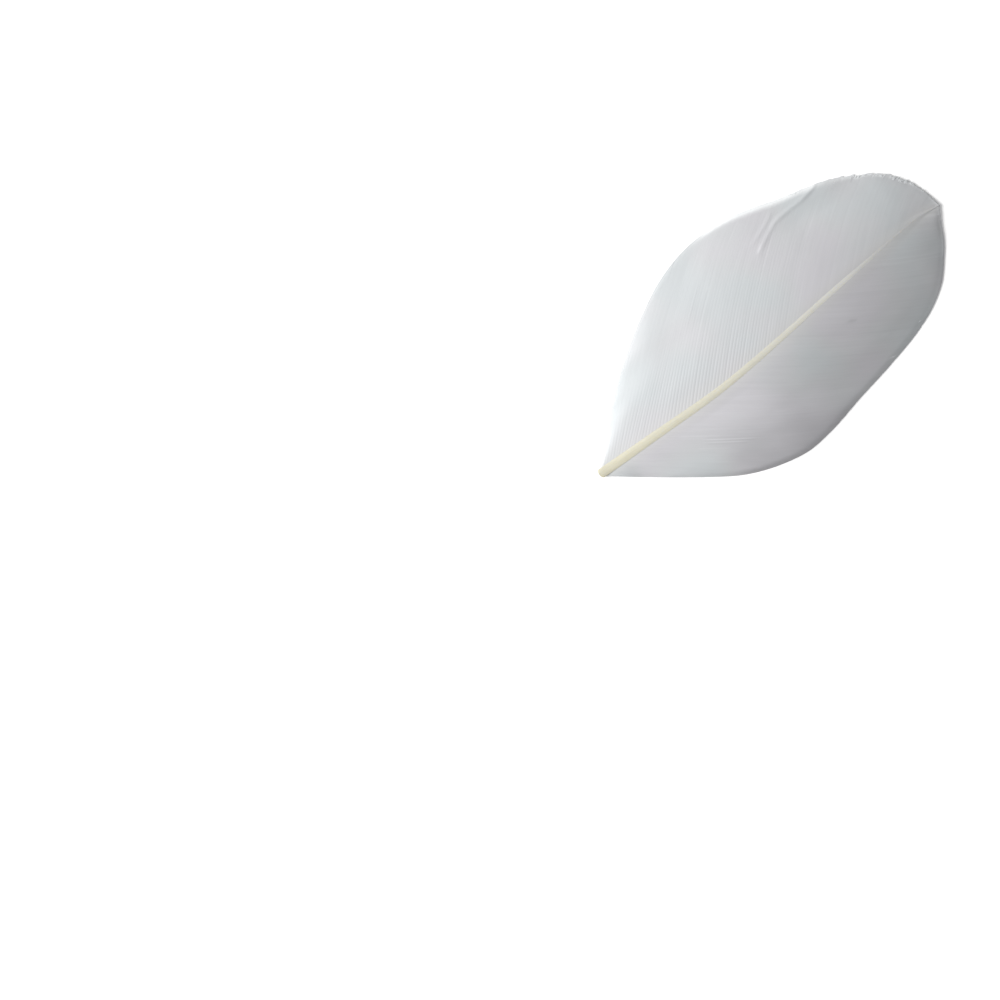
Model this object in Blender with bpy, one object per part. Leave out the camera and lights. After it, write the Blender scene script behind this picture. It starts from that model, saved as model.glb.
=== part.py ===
"""A goose feather trimmed to a petal outline, lying flat with its convex side up.

The quill shaft and the two vanes grew as one piece, so they are one closed solid. The sheet of the vanes is a
grid whose rows follow the barbs: each row comes in from the left margin, crosses the shaft at the barbs' root
and runs out to the right margin. Lengths are in metres. +Y runs along the feather from the cut quill to the
tip, +X points to the narrower vane and +Z is up. The origin is the middle of the footprint, on the surface
that the feather rests on.
"""

import math

import bmesh
import bpy
import numpy as np

MM = 0.001

# Stations along the chord from the cut quill (0) to the tip, in millimetres
FEATHER_LENGTH = 57.4
LAST_ROOT = 55.8

# Outlines of the two vanes from quill to tip: distance out from the chord, station along it
LEFT_MARGIN = (
    (0.9, 0.1),
    (2.3, 1.8),
    (3.9, 3.6),
    (6.3, 6.5),
    (8.8, 9.8),
    (10.9, 13.0),
    (13.2, 17.0),
    (15.2, 21.3),
    (16.4, 25.6),
    (16.7, 30.0),
    (16.2, 34.6),
    (15.1, 37.8),
    (14.0, 41.0),
    (13.2, 44.0),
    (12.3, 46.8),
    (10.6, 50.3),
    (8.6, 53.5),
    (6.6, 55.4),
    (4.2, 56.7),
    (1.9, 57.3),
    (0.2, FEATHER_LENGTH),
)
RIGHT_MARGIN = (
    (0.5, 0.1),
    (1.6, 1.0),
    (3.8, 4.0),
    (6.5, 7.2),
    (9.2, 10.6),
    (12.0, 14.7),
    (13.8, 18.9),
    (14.6, 23.4),
    (14.4, 27.0),
    (13.4, 32.5),
    (12.3, 39.0),
    (11.1, 44.6),
    (9.6, 48.4),
    (7.9, 51.1),
    (5.9, 53.1),
    (4.0, 54.7),
    (2.1, 55.9),
    (0.2, 57.0),
)

# Where the barb from each root ends: root station, then the share of the left and right margin's length
BARB_ENDS = (
    (0.0, 0.139, 0.168),
    (5.0, 0.456, 0.420),
    (10.0, 0.527, 0.497),
    (15.0, 0.587, 0.552),
    (22.6, 0.670, 0.658),
    (33.0, 0.784, 0.788),
    (40.0, 0.853, 0.869),
    (48.0, 0.920, 0.938),
    (52.0, 0.956, 0.968),
    (LAST_ROOT, 0.995, 0.997),
)
# Degrees by which a barb leaves the shaft more steeply than it runs on the whole: root station, left, right
BARB_BENDS = (
    (0.0, 1.0, 1.0),
    (5.0, 3.0, 1.5),
    (15.0, 7.0, 4.0),
    (40.0, 7.0, 4.0),
    (LAST_ROOT, 2.0, 2.0),
)
# Share of a barb's run that it keeps its first heading
BARB_LEAD = 0.62

# The shaft: sideways bow and arch above the resting surface, each at a station
SHAFT_BOW = ((0.0, -0.30), (7.5, 0.15), (21.0, 0.80), (35.5, 0.0), (44.0, -0.10), (FEATHER_LENGTH, 0.0))
SHAFT_ARCH = (
    (0.0, 0.35),
    (8.0, 2.45),
    (17.0, 4.05),
    (27.0, 4.75),
    (38.0, 4.15),
    (48.0, 2.35),
    (FEATHER_LENGTH, 0.0),
)
SHAFT_HALF_WIDTH = (
    (0.0, 0.66),
    (8.0, 0.60),
    (25.0, 0.45),
    (33.0, 0.34),
    (42.0, 0.22),
    (FEATHER_LENGTH, 0.06),
)
RIDGE_PER_HALF_WIDTH = 0.6
KEEL_PER_HALF_WIDTH = 0.85
RIDGE_SECTION = ((-1.0, 0.0), (-0.62, 0.78), (0.0, 1.0), (0.62, 0.78), (1.0, 0.0))
QUILL_STUB = 0.4

# The vanes
VANE_THICKNESS = 0.34
MARGIN_LIFT = 0.26
FLAT_RIM = 0.035
RIB_PER_SPACING = 0.07
LEAST_REACH = 0.05

# The split in the left vane: the barb root beside it and the share of the barb's length where it starts
SPLIT_ROOT = 22.6
SPLIT_START = 0.54
SPLIT_CLOSING = 0.6

# Grid: rows follow the barbs and lie closer where the barbs fan out
ROW_ROOTS = ((0.0, 0.0), (0.2, 5.0), (0.86, 48.0), (1.0, LAST_ROOT))
ROWS = 56
LEFT_STEPS = 12
RIGHT_STEPS = 11
COLUMNS = LEFT_STEPS + len(RIDGE_SECTION) - 1 + RIGHT_STEPS

VANE_COLOUR = (0.66, 0.66, 0.69, 1.0)
VANE_ROUGHNESS = 0.62


def smooth(keys, at, column=1):
    """The value at a station on the monotone cubic curve through the keys' (station, value) pairs."""
    table = np.array(keys, dtype=float)
    x, y = table[:, 0], table[:, column]
    step = np.diff(x)
    slope = np.diff(y) / step
    tangent = np.concatenate(([slope[0]], np.zeros(len(x) - 2), [slope[-1]]))
    rising = slope[:-1] * slope[1:] > 0
    before, after = slope[:-1][rising], slope[1:][rising]
    tangent[1:-1][rising] = 2 * before * after / (before + after)
    i = int(np.clip(np.searchsorted(x, at) - 1, 0, len(step) - 1))
    t = float(np.clip((at - x[i]) / step[i], 0.0, 1.0))
    start = (1 + 2 * t) * (1 - t) ** 2 * y[i] + t * (1 - t) ** 2 * step[i] * tangent[i]
    end = t * t * (3 - 2 * t) * y[i + 1] + t * t * (t - 1) * step[i] * tangent[i + 1]
    return start + end


def margin_by_share(margin):
    """The margin's points as (share of its length, distance out, station)."""
    points = np.array(margin)
    lengths = np.linalg.norm(np.diff(points, axis=0), axis=1)
    shares = np.concatenate(([0.0], np.cumsum(lengths))) / lengths.sum()
    return np.column_stack((shares, points))


MARGINS = {-1: margin_by_share(LEFT_MARGIN), 1: margin_by_share(RIGHT_MARGIN)}
MARGIN_WIDTHS = {-1: [(y, x) for x, y in LEFT_MARGIN], 1: [(y, x) for x, y in RIGHT_MARGIN]}
END_COLUMN = {-1: 1, 1: 2}
SPLIT_ROW = min(range(ROWS), key=lambda row: abs(smooth(ROW_ROOTS, row / ROWS) - SPLIT_ROOT))


def sheet_height(x, y):
    """Height of the vanes' upper face: an arch along the shaft that falls away to the margins."""
    offset = x - smooth(SHAFT_BOW, y)
    side = 1 if offset > 0 else -1
    reach = smooth(MARGIN_WIDTHS[side], y) - side * smooth(SHAFT_BOW, y)
    across = min(1.0, abs(offset) / max(reach, LEAST_REACH) / (1 - FLAT_RIM))
    return MARGIN_LIFT + smooth(SHAFT_ARCH, y) * (1 - across * across)


def barb_point(side, root, share):
    """Plan point on the barb from a root, at a share of its run: straight at first, then bent to the tip."""
    foot = np.array((smooth(SHAFT_BOW, root) + side * smooth(SHAFT_HALF_WIDTH, root), root))
    end_share = smooth(BARB_ENDS, root, END_COLUMN[side])
    end = np.array([smooth(MARGINS[side], end_share, axis) for axis in (1, 2)]) * (side, 1)
    run = end - foot
    heading = math.atan2(side * run[0], run[1]) + math.radians(smooth(BARB_BENDS, root, END_COLUMN[side]))
    bend = foot + BARB_LEAD * np.linalg.norm(run) * np.array((side * math.sin(heading), math.cos(heading)))
    return (1 - share) ** 2 * foot + 2 * share * (1 - share) * bend + share**2 * end


def vane_point(side, row, step, steps):
    """Point of the upper face on a barb, with every second row raised as a shallow rib."""
    root = smooth(ROW_ROOTS, row / ROWS)
    spacing = smooth(ROW_ROOTS, (row + 0.5) / ROWS) - smooth(ROW_ROOTS, (row - 0.5) / ROWS)
    share = step / steps if step < steps - 1 else 1 - (steps - step) * FLAT_RIM
    if side == -1 and row == SPLIT_ROW + 1:
        root -= SPLIT_CLOSING * spacing * share
    x, y = barb_point(side, root, share)
    rib = RIB_PER_SPACING * spacing * math.sin(math.pi * share) ** 0.5
    return x, y, sheet_height(x, y) + (rib if row % 2 else -rib)


def shaft_point(row, place):
    """Point of the upper face on the shaft's round ridge. The first row is the cut end of the bare quill."""
    root = smooth(ROW_ROOTS, row / ROWS)
    half_width = smooth(SHAFT_HALF_WIDTH, root)
    across, rise = RIDGE_SECTION[place]
    x = smooth(SHAFT_BOW, root) + across * half_width
    z = sheet_height(x, root) + rise * RIDGE_PER_HALF_WIDTH * half_width
    return x, root - (QUILL_STUB if row == 0 else 0.0), z


def depth_below(row, column):
    """Thickness of the solid below a point of the upper face: the vane's, and more at the shaft's keel."""
    place = column - LEFT_STEPS
    if not 0 <= place < len(RIDGE_SECTION):
        return VANE_THICKNESS
    half_width = smooth(SHAFT_HALF_WIDTH, smooth(ROW_ROOTS, row / ROWS))
    shaft_height = (RIDGE_PER_HALF_WIDTH + KEEL_PER_HALF_WIDTH) * half_width
    return VANE_THICKNESS + RIDGE_SECTION[place][1] * shaft_height


def grid_point(row, column):
    """Point of the upper face at a row and column of the grid."""
    place = column - LEFT_STEPS
    if place < 0:
        return vane_point(-1, row, -place, LEFT_STEPS)
    if place < len(RIDGE_SECTION):
        return shaft_point(row, place)
    return vane_point(1, row, place - len(RIDGE_SECTION) + 1, RIGHT_STEPS)


def upper_face(bm):
    """Makes the upper face of vanes and shaft, an open sheet, with the depth below each point in a layer."""
    depth = bm.verts.layers.float.new("depth")
    bmesh.ops.create_grid(bm, x_segments=COLUMNS, y_segments=ROWS, size=1.0)
    place_of = {v: (round((v.co.y + 1) / 2 * ROWS), round((v.co.x + 1) / 2 * COLUMNS)) for v in bm.verts}
    last_before_split = LEFT_STEPS - math.ceil(SPLIT_START * LEFT_STEPS)
    gap = [
        face
        for face in bm.faces
        if min(place_of[v][0] for v in face.verts) == SPLIT_ROW
        and max(place_of[v][1] for v in face.verts) <= last_before_split
    ]
    for vert, (row, column) in place_of.items():
        vert.co = [MM * value for value in grid_point(row, column)]
        vert[depth] = MM * depth_below(row, column)
    bmesh.ops.delete(bm, geom=gap, context="FACES_ONLY")
    return depth


def close_below(bm, depth):
    """Closes the sheet into a solid: its own shape straight below, and a wall all round."""
    grown = bmesh.ops.extrude_face_region(bm, geom=bm.faces[:])
    for vert in grown["geom"]:
        if isinstance(vert, bmesh.types.BMVert):
            vert.co.z -= vert[depth]
    bmesh.ops.recalc_face_normals(bm, faces=bm.faces[:])


def settle(bm):
    """Flattens what would reach below the resting surface and puts the origin mid-footprint on it."""
    corners = np.array([v.co for v in bm.verts])
    middle = (corners.min(axis=0) + corners.max(axis=0)) / 2
    for vert in bm.verts:
        vert.co = (vert.co.x - middle[0], vert.co.y - middle[1], max(vert.co.z, 0.0))


def feather_mesh():
    """The whole feather as one closed mesh."""
    bm = bmesh.new()
    depth = upper_face(bm)
    close_below(bm, depth)
    settle(bm)
    mesh = bpy.data.meshes.new("feather")
    bm.to_mesh(mesh)
    bm.free()
    return mesh


def vane_material():
    """White vane keratin with a slight lavender cast."""
    material = bpy.data.materials.new("white_vane")
    material.use_nodes = True
    shader = material.node_tree.nodes["Principled BSDF"]
    shader.inputs["Base Color"].default_value = VANE_COLOUR
    shader.inputs["Roughness"].default_value = VANE_ROUGHNESS
    shader.inputs["Metallic"].default_value = 0.0
    return material


def main():
    """Builds the feather in its own collection."""
    for thing in list(bpy.data.objects):
        bpy.data.objects.remove(thing)
    collection = bpy.data.collections.new("goose_feather")
    bpy.context.scene.collection.children.link(collection)
    feather = bpy.data.objects.new("feather", feather_mesh())
    collection.objects.link(feather)
    feather.data.materials.append(vane_material())
    feather.data.shade_smooth()


main()
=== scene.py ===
"""Looks of a trimmed white goose feather that lies flat, convex side up, seen from straight above.

Every barb of the two vanes is a closed strip of its own, with its ridge, its overlapping edges and its
free tip. The barbs grow out of a shaft that has a groove below and shows its pith at the cut end. Plans
are in millimetres in the chord's frame: x runs out to the right vane and y along the chord, from the cut
quill at 0 to the tip. Meshes are in metres.
"""

from __future__ import annotations

import logging
import math
from dataclasses import dataclass, field
from enum import Enum

import bpy
import numpy as np
from mathutils import Matrix, Vector

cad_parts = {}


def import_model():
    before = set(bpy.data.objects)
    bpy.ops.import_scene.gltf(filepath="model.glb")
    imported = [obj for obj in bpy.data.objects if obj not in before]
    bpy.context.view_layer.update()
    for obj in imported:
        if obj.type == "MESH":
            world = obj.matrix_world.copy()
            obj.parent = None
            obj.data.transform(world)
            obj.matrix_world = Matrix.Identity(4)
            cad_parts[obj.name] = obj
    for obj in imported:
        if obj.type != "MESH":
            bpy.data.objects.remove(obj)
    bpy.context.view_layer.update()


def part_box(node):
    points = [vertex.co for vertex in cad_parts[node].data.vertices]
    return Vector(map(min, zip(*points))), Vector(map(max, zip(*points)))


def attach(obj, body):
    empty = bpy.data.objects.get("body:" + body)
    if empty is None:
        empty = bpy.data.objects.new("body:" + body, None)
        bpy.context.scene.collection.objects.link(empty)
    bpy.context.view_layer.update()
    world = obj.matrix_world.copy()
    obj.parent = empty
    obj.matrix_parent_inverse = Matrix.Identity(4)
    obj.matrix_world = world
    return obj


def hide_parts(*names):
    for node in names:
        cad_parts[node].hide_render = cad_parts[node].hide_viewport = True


LOG = logging.getLogger("feather")

MM = 0.001
FEATHER_NODE = "feather"
ROOT_BODY = "root"

# Where the photograph shows the feather: pixels of a 1000 by 1000 frame
PIXEL_MM = 0.132
QUILL_PIXEL = (603.0, 475.0)
CENTRE_PIXEL = (500.0, 500.0)
FRAME_PIXELS = 1000
CHORD_ANGLE = math.radians(38.51)

# Edges that fold more than this are shaded sharp
SHARP_ANGLE = math.radians(40.0)

# No point of the feather lies lower than this, in millimetres
LOWEST = 0.02

# UV maps that the finishes read
BARB_MAP = "barb_map"
# The look map carries the tips' paleness and the tone, which hold painted light and shade besides each
# barb's own tone
LOOK_MAP = "look_map"
SHAFT_MAP = "shaft_map"

# Values of a noise between which a shade changes
SHADE_STOPS = (0.3, 0.7)

Array = np.ndarray
Pair = tuple[float, float]
Keys = tuple[Pair, ...]
Triple = tuple[float, float, float]
Colour = Triple
Faces = list[tuple[int, ...]]
Piece = bpy.types.Object
Socket = bpy.types.NodeSocket
Random = np.random.Generator


class Side(Enum):
    """The two vanes, as the sign of their x."""

    LEFT = -1
    RIGHT = 1


class Slot(Enum):
    """The record's material slots."""

    VANE = "vane"
    QUILL = "quill"


@dataclass(frozen=True)
class Curve:
    """A smooth curve through keys, which doesn't overshoot them unless it is free."""

    keys: Keys
    free: bool = False

    def at(self, places: Array | float) -> Array:
        """Values of the curve.

        Args:
            places: where to read it; ends are held beyond the first and last key.

        Returns:
            The values, in the shape of places.
        """
        x, y = np.array(self.keys, dtype=float).T
        step = np.diff(x)
        slope = np.diff(y) / step
        tangent = np.concatenate(([slope[0]], np.zeros(len(x) - 2), [slope[-1]]))
        rising = slope[:-1] * slope[1:] > 0
        before, after = slope[:-1][rising], slope[1:][rising]
        tangent[1:-1][rising] = 2 * before * after / (before + after)
        if self.free:
            tangent[1:-1] = (step[1:] * slope[:-1] + step[:-1] * slope[1:]) / (step[1:] + step[:-1])
        i = np.clip(np.searchsorted(x, places) - 1, 0, len(step) - 1)
        t = np.clip((places - x[i]) / step[i], 0.0, 1.0)
        start = (1 + 2 * t) * (1 - t) ** 2 * y[i] + t * (1 - t) ** 2 * step[i] * tangent[i]
        end = t * t * (3 - 2 * t) * y[i + 1] + t * t * (t - 1) * step[i] * tangent[i + 1]
        return start + end


def straight(keys: Keys, places: Array) -> Array:
    """Values at places, read off straight lines through keys."""
    known, values = zip(*keys)
    return np.interp(places, known, values)


def ramp(values: Array, low: float, high: float) -> Array:
    """Smooth step from 0 where the values are low to 1 where they are high."""
    t = np.clip((values - low) / (high - low), 0.0, 1.0)
    return t * t * (3 - 2 * t)


@dataclass(frozen=True)
class Fade:
    """An amount that sets in smoothly from one place to another."""

    amount: float
    low: float
    high: float

    def at(self, places: Array) -> Array:
        """The amount at places."""
        return self.amount * ramp(places, self.low, self.high)


@dataclass(frozen=True)
class VanePlan:
    """Outline of one vane and the run of its barbs."""

    side: Side
    margin: Keys
    end_shares: Curve
    bends: Curve
    crown: Curve

    def shares(self) -> Array:
        """Share of the margin's length at each of its points."""
        lengths = np.linalg.norm(np.diff(np.array(self.margin), axis=0), axis=1)
        return np.concatenate(([0.0], np.cumsum(lengths))) / lengths.sum()

    def margin_point(self, shares: Array) -> Array:
        """Points of the margin.

        Args:
            shares: shares of the margin's length.

        Returns:
            Their plan points, x and y in the last axis.
        """
        marks = self.shares()
        out = Curve(tuple(zip(marks, (p[0] for p in self.margin))), free=True).at(shares)
        along = Curve(tuple(zip(marks, (p[1] for p in self.margin))), free=True).at(shares)
        return np.stack((self.side.value * out, along), axis=-1)

    def width(self, stations: Array) -> Array:
        """Distance of the margin from the chord at stations along it."""
        return Curve(tuple((y, x) for x, y in self.margin), free=True).at(stations)


# Margins are pairs of distance out and station, the curves have root stations or stations as places
LEFT_PLAN = VanePlan(
    Side.LEFT,
    margin=(
        (0.9, 0.1), (2.3, 1.8), (3.9, 3.6), (6.3, 6.5), (8.8, 9.8), (10.9, 13), (13.2, 17), (15.2, 21.3),
        (16.4, 25.6), (16.7, 30), (16.15, 34.4), (15.2, 37.7), (14.05, 41), (13.2, 44), (12.3, 46.8),
        (10.55, 50.25), (8.45, 53.35), (6.3, 55.05), (4, 56.2), (2.9, 56.52), (1.9, 56.73), (0, 56.95),
    ),
    end_shares=Curve((
        (0, 0.139), (5, 0.456), (10, 0.527), (15, 0.587), (22.6, 0.670), (33, 0.784),
        (40, 0.853), (48, 0.920), (52, 0.956), (55.8, 1),
    )),
    bends=Curve(((0, 1), (5, 3), (15, 7), (40, 7), (55.8, 2))),
    crown=Curve((
        (0, 7), (6, 7), (10, 5.8), (14, 4.2), (18, 2.9), (23, 2.15), (28, 1.9),
        (34, 1.75), (48, 1.5), (57.4, 1.45),
    ), free=True),
)
RIGHT_PLAN = VanePlan(
    Side.RIGHT,
    margin=(
        (0.5, 0.1), (1.6, 1), (3.6, 4.15), (6.25, 7.4), (8.95, 10.8), (11.7, 14.8), (13.45, 18.9),
        (14.45, 23.4), (14.25, 27), (13.28, 32.5), (12.22, 39), (10.98, 44.6), (9.5, 48.4), (7.8, 51),
        (5.75, 52.95), (3.85, 54.5), (1.95, 55.6), (1, 56.2), (0, 56.8),
    ),
    end_shares=Curve((
        (0, 0.168), (5, 0.420), (10, 0.497), (15, 0.552), (22.6, 0.658), (33, 0.788),
        (40, 0.869), (48, 0.938), (52, 0.968), (55.8, 1),
    )),
    bends=Curve(((0, 1), (5, 1.5), (15, 4), (40, 4), (55.8, 2))),
    crown=Curve((
        (0, 2), (8, 2.1), (15, 2.6), (21, 2.4), (27, 1.95), (34, 1.8), (47, 1.65),
        (57.4, 1.25),
    ), free=True),
)


@dataclass(frozen=True)
class FeatherPlan:
    """The feather's driving dimensions: the solid's, with outline and cross-section drawn more finely."""

    last_root: float = 55.8
    barb_lead: float = 0.62
    quill_stub: float = 0.4
    margin_lift: float = 0.26
    curl: float = 0.04
    curl_width: float = 0.4
    rim_drop: float = 0.06
    past_rim: float = 1.25
    least_reach: float = 0.05
    bow: Curve = Curve((
        (0, -0.30), (7.5, 0.15), (20.5, 0.80), (27, 0.58), (33, 0.24), (38, -0.08),
        (44, -0.36), (50, -0.66), (54, -0.72), (57.4, -0.10),
    ), free=True)
    crest_round: Curve = Curve((
        (0, 0), (30, 0), (42, 0.25), (48, 0.9), (53, 2), (57.4, 2),
    ))
    arch: Curve = Curve((
        (0, 0.35), (8, 2.45), (17, 4.05), (27, 4.75), (38, 4.15), (48, 2.35), (57.4, 0),
    ), free=True)
    half_width: Curve = Curve((
        (0, 0.66), (8, 0.61), (25, 0.47), (33, 0.39), (42, 0.33), (50, 0.19), (57.4, 0.05),
    ))
    vanes: dict[Side, VanePlan] = field(
        default_factory=lambda: {Side.LEFT: LEFT_PLAN, Side.RIGHT: RIGHT_PLAN}
    )

    def skin_height(self, x: Array, y: Array) -> Array:
        """Height of the vanes' skin: an arch that falls away to the margins and drops past them.

        Args:
            x: distances out from the chord.
            y: stations along it.

        Returns:
            Heights over the resting surface.
        """
        left, right = self.vanes[Side.LEFT], self.vanes[Side.RIGHT]
        bow = self.bow.at(y)
        offset = x - bow
        reach = np.where(offset > 0, right.width(y) - bow, left.width(y) + bow)
        reach = np.maximum(reach, self.least_reach)
        soft = self.crest_round.at(y)
        across = (np.hypot(offset, soft) - soft) / (np.hypot(reach, soft) - soft)
        across = np.minimum(self.past_rim, across)
        power = np.where(offset > 0, right.crown.at(y), left.crown.at(y))
        crown = np.maximum(self.arch.at(y) * (1 - across**power), -self.rim_drop)
        return self.margin_lift + crown - self.curl * ramp(reach * (1 - across), self.curl_width, 0.0)

    def barb_point(self, side: Side, roots: Array, shares: Array, inset: float = 0.0) -> Array:
        """Plan points on barbs: straight at first, then bent to the tip.

        Args:
            side: the vane.
            roots: stations of the barbs' roots.
            shares: shares of the barbs' run, in a shape that broadcasts with roots.
            inset: share of the shaft's half width by which the foot lies inside it.

        Returns:
            Plan points, x and y in the last axis.
        """
        vane = self.vanes[side]
        roots, shares = np.broadcast_arrays(roots, shares)
        sign = side.value
        foot_x = self.bow.at(roots) + sign * (1 - inset) * self.half_width.at(roots)
        foot = np.stack((foot_x, roots), axis=-1)
        end = vane.margin_point(vane.end_shares.at(roots))
        run = end - foot
        length = np.linalg.norm(run, axis=-1)
        heading = np.arctan2(sign * run[..., 0], run[..., 1]) + np.radians(vane.bends.at(roots))
        way = np.stack((sign * np.sin(heading), np.cos(heading)), axis=-1)
        bend = foot + (self.barb_lead * length)[..., None] * way
        t = shares[..., None]
        return (1 - t) ** 2 * foot + 2 * t * (1 - t) * bend + t**2 * end


@dataclass
class Placement:
    """Carries plan points in millimetres to the part's frame in metres."""

    plan: FeatherPlan
    low: Vector

    def origin(self) -> Vector:
        """The chord's start in the part's frame."""
        widest = max(x for x, _ in self.plan.vanes[Side.LEFT].margin)
        return Vector((self.low.x + widest * MM, self.low.y + self.plan.quill_stub * MM, 0.0))

    def carry(self, points: Array) -> Array:
        """Plan points with their heights, in the last axis, carried to the part's frame."""
        return points * MM + np.array(self.origin())


def add_mesh(name: str, verts: Array, faces: Faces) -> Piece:
    """Makes an object from points and faces and links it to the scene.

    Args:
        name: the piece's name.
        verts: points in metres.
        faces: corner numbers of each face.

    Returns:
        The new object, shaded smooth.
    """
    mesh = bpy.data.meshes.new(name)
    mesh.from_pydata(verts.tolist(), [], faces)
    mesh.validate()
    mesh.shade_smooth()
    mesh.set_sharp_from_angle(angle=SHARP_ANGLE)
    piece = bpy.data.objects.new(name, mesh)
    bpy.context.scene.collection.objects.link(piece)
    return piece


def tube_faces(rings: int, around: int, tubes: int = 1) -> Faces:
    """Faces of closed tubes of rings, whose ends are capped.

    Args:
        rings: number of rings in a tube.
        around: points in a ring.
        tubes: number of tubes, whose points follow one another.

    Returns:
        Corner numbers of each face.
    """
    faces: Faces = []
    for first in range(0, tubes * rings * around, rings * around):
        last = first + (rings - 1) * around
        for ring in range(first, last, around):
            for place in range(around):
                after = (place + 1) % around
                faces.append((ring + place, ring + around + place, ring + around + after, ring + after))
        faces.append(tuple(range(first, first + around)))
        faces.append(tuple(range(last + around - 1, last - 1, -1)))
    return faces


def store(piece: Piece, name: str, first: Array, second: Array) -> None:
    """Keeps two numbers for each point as a UV map, for the finish to read.

    Args:
        piece: the mesh object.
        name: the map's name.
        first: one number for each point, in any shape.
        second: another number for each point.
    """
    layer = piece.data.uv_layers.new(name=name)
    corners = np.zeros(len(piece.data.loops), dtype=np.int32)
    piece.data.loops.foreach_get("vertex_index", corners)
    pairs = np.stack((first.ravel()[corners], second.ravel()[corners]), axis=-1)
    layer.data.foreach_set("uv", pairs.astype(np.float32).ravel())


class Finish:
    """Base of the procedural finishes: builds a node tree step by step."""

    def __init__(self, name: str) -> None:
        """Starts a material whose tree holds only its shader and its output.

        Args:
            name: the material's name.
        """
        self.material = bpy.data.materials.new(name)
        self.material.use_nodes = True
        self.tree = self.material.node_tree
        self.shader = self.tree.nodes["Principled BSDF"]

    def node(self, kind: str, **settings: object) -> bpy.types.Node:
        """Adds a node.

        Args:
            kind: the node type's name.
            settings: its properties.

        Returns:
            The node.
        """
        made = self.tree.nodes.new(kind)
        for key, value in settings.items():
            setattr(made, key, value)
        return made

    def link(self, start: Socket, end: Socket) -> None:
        """Joins two sockets."""
        self.tree.links.new(start, end)

    def place(self) -> Socket:
        """The object's own coordinates."""
        return self.node("ShaderNodeTexCoord").outputs["Object"]

    def uv(self, name: str) -> Socket:
        """The coordinates of a UV map."""
        return self.node("ShaderNodeUVMap", uv_map=name).outputs[0]

    def split(self, vector: Socket) -> tuple[Socket, Socket]:
        """Takes a vector apart.

        Args:
            vector: the vector's socket.

        Returns:
            The sockets of its first and second number.
        """
        made = self.node("ShaderNodeSeparateXYZ")
        self.link(vector, made.inputs[0])
        return made.outputs[0], made.outputs[1]

    def math(self, operation: str, first: object, second: object = 0.0) -> Socket:
        """Adds a Math node.

        Args:
            operation: what it does.
            first: a socket or a number.
            second: a socket or a number.

        Returns:
            The result's socket.
        """
        made = self.node("ShaderNodeMath", operation=operation)
        for place, value in enumerate((first, second)):
            if isinstance(value, (int, float)):
                made.inputs[place].default_value = value
            else:
                self.link(value, made.inputs[place])
        return made.outputs[0]

    def grade(self, value: Socket, stops: tuple[float, ...], colours: tuple[Colour, ...]) -> Socket:
        """Adds a colour ramp.

        Args:
            value: what drives it.
            stops: places from 0 to 1.
            colours: the colour at each place.

        Returns:
            The colour's socket.
        """
        made = self.node("ShaderNodeValToRGB")
        elements = made.color_ramp.elements
        while len(elements) < len(stops):
            elements.new(0.5)
        for element, place, colour in zip(elements, stops, colours):
            element.position = place
            element.color = (*colour, 1.0)
        self.link(value, made.inputs[0])
        return made.outputs[0]

    def mix(self, share: object, first: object, second: object, blend: str = "MIX") -> Socket:
        """Adds a colour mix.

        Args:
            share: a socket or a number from 0 to 1.
            first: a colour or its socket.
            second: a colour or its socket.
            blend: the blend mode.

        Returns:
            The colour's socket.
        """
        made = self.node("ShaderNodeMix", data_type="RGBA", blend_type=blend)
        for place, value in ((0, share), (6, first), (7, second)):
            if isinstance(value, Socket):
                self.link(value, made.inputs[place])
            elif isinstance(value, tuple):
                made.inputs[place].default_value = (*value, 1.0)
            else:
                made.inputs[place].default_value = value
        return made.outputs[2]

    def noise(self, vector: Socket, scale: float, detail: float) -> Socket:
        """Adds a noise texture.

        Args:
            vector: where to read it.
            scale: its scale.
            detail: its octaves.

        Returns:
            The value's socket.
        """
        made = self.node("ShaderNodeTexNoise")
        made.inputs["Scale"].default_value = scale
        made.inputs["Detail"].default_value = detail
        self.link(vector, made.inputs["Vector"])
        return made.outputs[0]

    def streaks(self, vector: Socket, stretch: Triple, detail: float) -> Socket:
        """Adds a noise texture that is stretched into streaks.

        Args:
            vector: where to read it.
            stretch: scale of the vector along each axis.
            detail: the noise's octaves.

        Returns:
            The value's socket.
        """
        made = self.node("ShaderNodeMapping")
        made.inputs["Scale"].default_value = stretch
        self.link(vector, made.inputs["Vector"])
        return self.noise(made.outputs[0], 1.0, detail)

    def bump(self, height: Socket, distance: float, strength: float) -> None:
        """Adds a bump and joins it to the shader.

        Args:
            height: the height's socket.
            distance: what a height of 1 stands for, in metres.
            strength: its strength from 0 to 1.
        """
        made = self.node("ShaderNodeBump")
        made.inputs["Distance"].default_value = distance
        made.inputs["Strength"].default_value = strength
        self.link(height, made.inputs["Height"])
        self.link(made.outputs[0], self.shader.inputs["Normal"])

    def gloss(self, span: Pair, driver: Socket) -> None:
        """Lets the roughness vary between two values.

        Args:
            span: roughness where the driver is 0 and where it is 1.
            driver: the driver's socket.
        """
        made = self.node("ShaderNodeMapRange")
        made.inputs["To Min"].default_value, made.inputs["To Max"].default_value = span
        self.link(driver, made.inputs["Value"])
        self.link(made.outputs[0], self.shader.inputs["Roughness"])

    def keep(self, constants: dict[str, object]) -> None:
        """Sets constants, by the names of the shader's own sockets."""
        for name, value in constants.items():
            self.shader.inputs[name].default_value = value


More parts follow.
